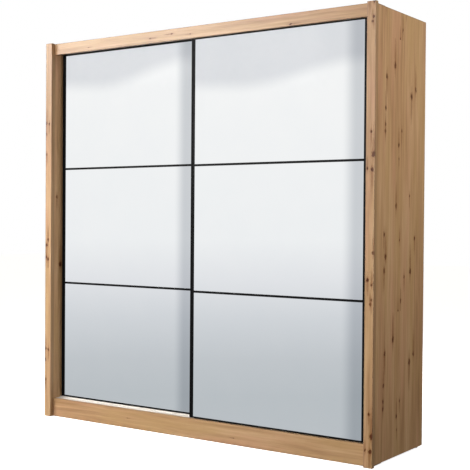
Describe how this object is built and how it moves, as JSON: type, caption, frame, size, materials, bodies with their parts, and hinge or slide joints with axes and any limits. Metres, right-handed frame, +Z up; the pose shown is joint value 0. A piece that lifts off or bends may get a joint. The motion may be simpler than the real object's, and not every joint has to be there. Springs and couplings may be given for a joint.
{
  "type": "sliding door wardrobe",
  "caption": "Wardrobe with overlapping mirrored sliding doors hung from a double top track, a proud oak front frame, hat shelves and clothes rails.",
  "frame": {"origin": "centre of the footprint, on the floor", "axes": "+X to the right seen from the front, +Y towards the wall behind, +Z up"},
  "size_m": [2.03, 0.555, 2.1],
  "materials": {
    "oak": "satin knotty oak decor foil",
    "oak_inside": "matt oak decor foil",
    "back_board": "matt lacquered hardboard",
    "door_board": "matt dark grey foil on particle board",
    "mirror": "silvered float glass",
    "black_profile": "satin black anodised",
    "silver_track": "satin anodised",
    "chrome": "polished",
    "zinc_steel": "zinc plated",
    "white_plastic": "moulded nylon"
  },
  "bodies": {
    "carcass": {"left_front_post": "oak", "right_front_post": "oak", "left_reveal": "oak", "right_reveal": "oak", "top_fascia": "oak", "front_plinth": "oak", "left_side_panel": "oak", "right_side_panel": "oak", "top_panel": "oak_inside", "bottom_panel": "oak_inside", "centre_partition": "oak_inside", "rear_plinth": "oak_inside", "centre_plinth": "oak_inside", "left_back_panel": "back_board", "right_back_panel": "back_board", "back_joiner_strip": "white_plastic", "left_hat_shelf": "oak_inside", "left_clothes_rail": "chrome", "left_rail_socket_left": "chrome", "left_rail_socket_right": "chrome", "right_hat_shelf": "oak_inside", "right_clothes_rail": "chrome", "right_rail_socket_left": "chrome", "right_rail_socket_right": "chrome", "top_track": "silver_track", "front_bottom_track": "silver_track", "rear_bottom_track": "silver_track"},
    "front_door": {"front_door_stile_left": "black_profile", "front_door_stile_right": "black_profile", "front_door_top_rail": "black_profile", "front_door_bottom_rail": "black_profile", "front_door_divider_upper": "black_profile", "front_door_divider_lower": "black_profile", "front_door_mirror_top": "mirror", "front_door_mirror_middle": "mirror", "front_door_mirror_bottom": "mirror", "front_door_backing_board": "door_board", "front_door_hanger_left": "zinc_steel", "front_door_hanger_right": "zinc_steel", "front_door_guide_left": "white_plastic", "front_door_guide_right": "white_plastic"},
    "rear_door": {"rear_door_stile_left": "black_profile", "rear_door_stile_right": "black_profile", "rear_door_top_rail": "black_profile", "rear_door_bottom_rail": "black_profile", "rear_door_divider_upper": "black_profile", "rear_door_divider_lower": "black_profile", "rear_door_mirror_top": "mirror", "rear_door_mirror_middle": "mirror", "rear_door_mirror_bottom": "mirror", "rear_door_backing_board": "door_board", "rear_door_hanger_left": "zinc_steel", "rear_door_hanger_right": "zinc_steel", "rear_door_guide_left": "white_plastic", "rear_door_guide_right": "white_plastic"},
    "front_door_wheel_left": {"front_door_wheel_left": "white_plastic"},
    "front_door_wheel_right": {"front_door_wheel_right": "white_plastic"},
    "rear_door_wheel_left": {"rear_door_wheel_left": "white_plastic"},
    "rear_door_wheel_right": {"rear_door_wheel_right": "white_plastic"}
  },
  "joints": [
    {"name": "front_door_slide", "type": "slide", "parent": "carcass", "child": "front_door", "axis": [1, 0, 0], "range_m": [-0.935, 0]},
    {"name": "rear_door_slide", "type": "slide", "parent": "carcass", "child": "rear_door", "axis": [1, 0, 0], "range_m": [0, 0.935]},
    {"name": "front_door_wheel_left_spin", "type": "hinge", "parent": "front_door", "child": "front_door_wheel_left", "pos_m": [0.0925, -0.2235, 2.0573], "axis": [0, 1, 0], "range_deg": [-5975, 20]},
    {"name": "front_door_wheel_right_spin", "type": "hinge", "parent": "front_door", "child": "front_door_wheel_right", "pos_m": [0.8425, -0.2235, 2.0573], "axis": [0, 1, 0], "range_deg": [-5975, 20]},
    {"name": "rear_door_wheel_left_spin", "type": "hinge", "parent": "rear_door", "child": "rear_door_wheel_left", "pos_m": [-0.8425, -0.1775, 2.0573], "axis": [0, 1, 0], "range_deg": [-20, 5975]},
    {"name": "rear_door_wheel_right_spin", "type": "hinge", "parent": "rear_door", "child": "rear_door_wheel_right", "pos_m": [-0.0925, -0.1775, 2.0573], "axis": [0, 1, 0], "range_deg": [-20, 5975]}
  ],
  "couplings": [
    {"joint": "front_door_wheel_left_spin", "follows": "front_door_slide", "rad_per_m": 111.11},
    {"joint": "front_door_wheel_right_spin", "follows": "front_door_slide", "rad_per_m": 111.11},
    {"joint": "rear_door_wheel_left_spin", "follows": "rear_door_slide", "rad_per_m": 111.11},
    {"joint": "rear_door_wheel_right_spin", "follows": "rear_door_slide", "rad_per_m": 111.11}
  ]
}
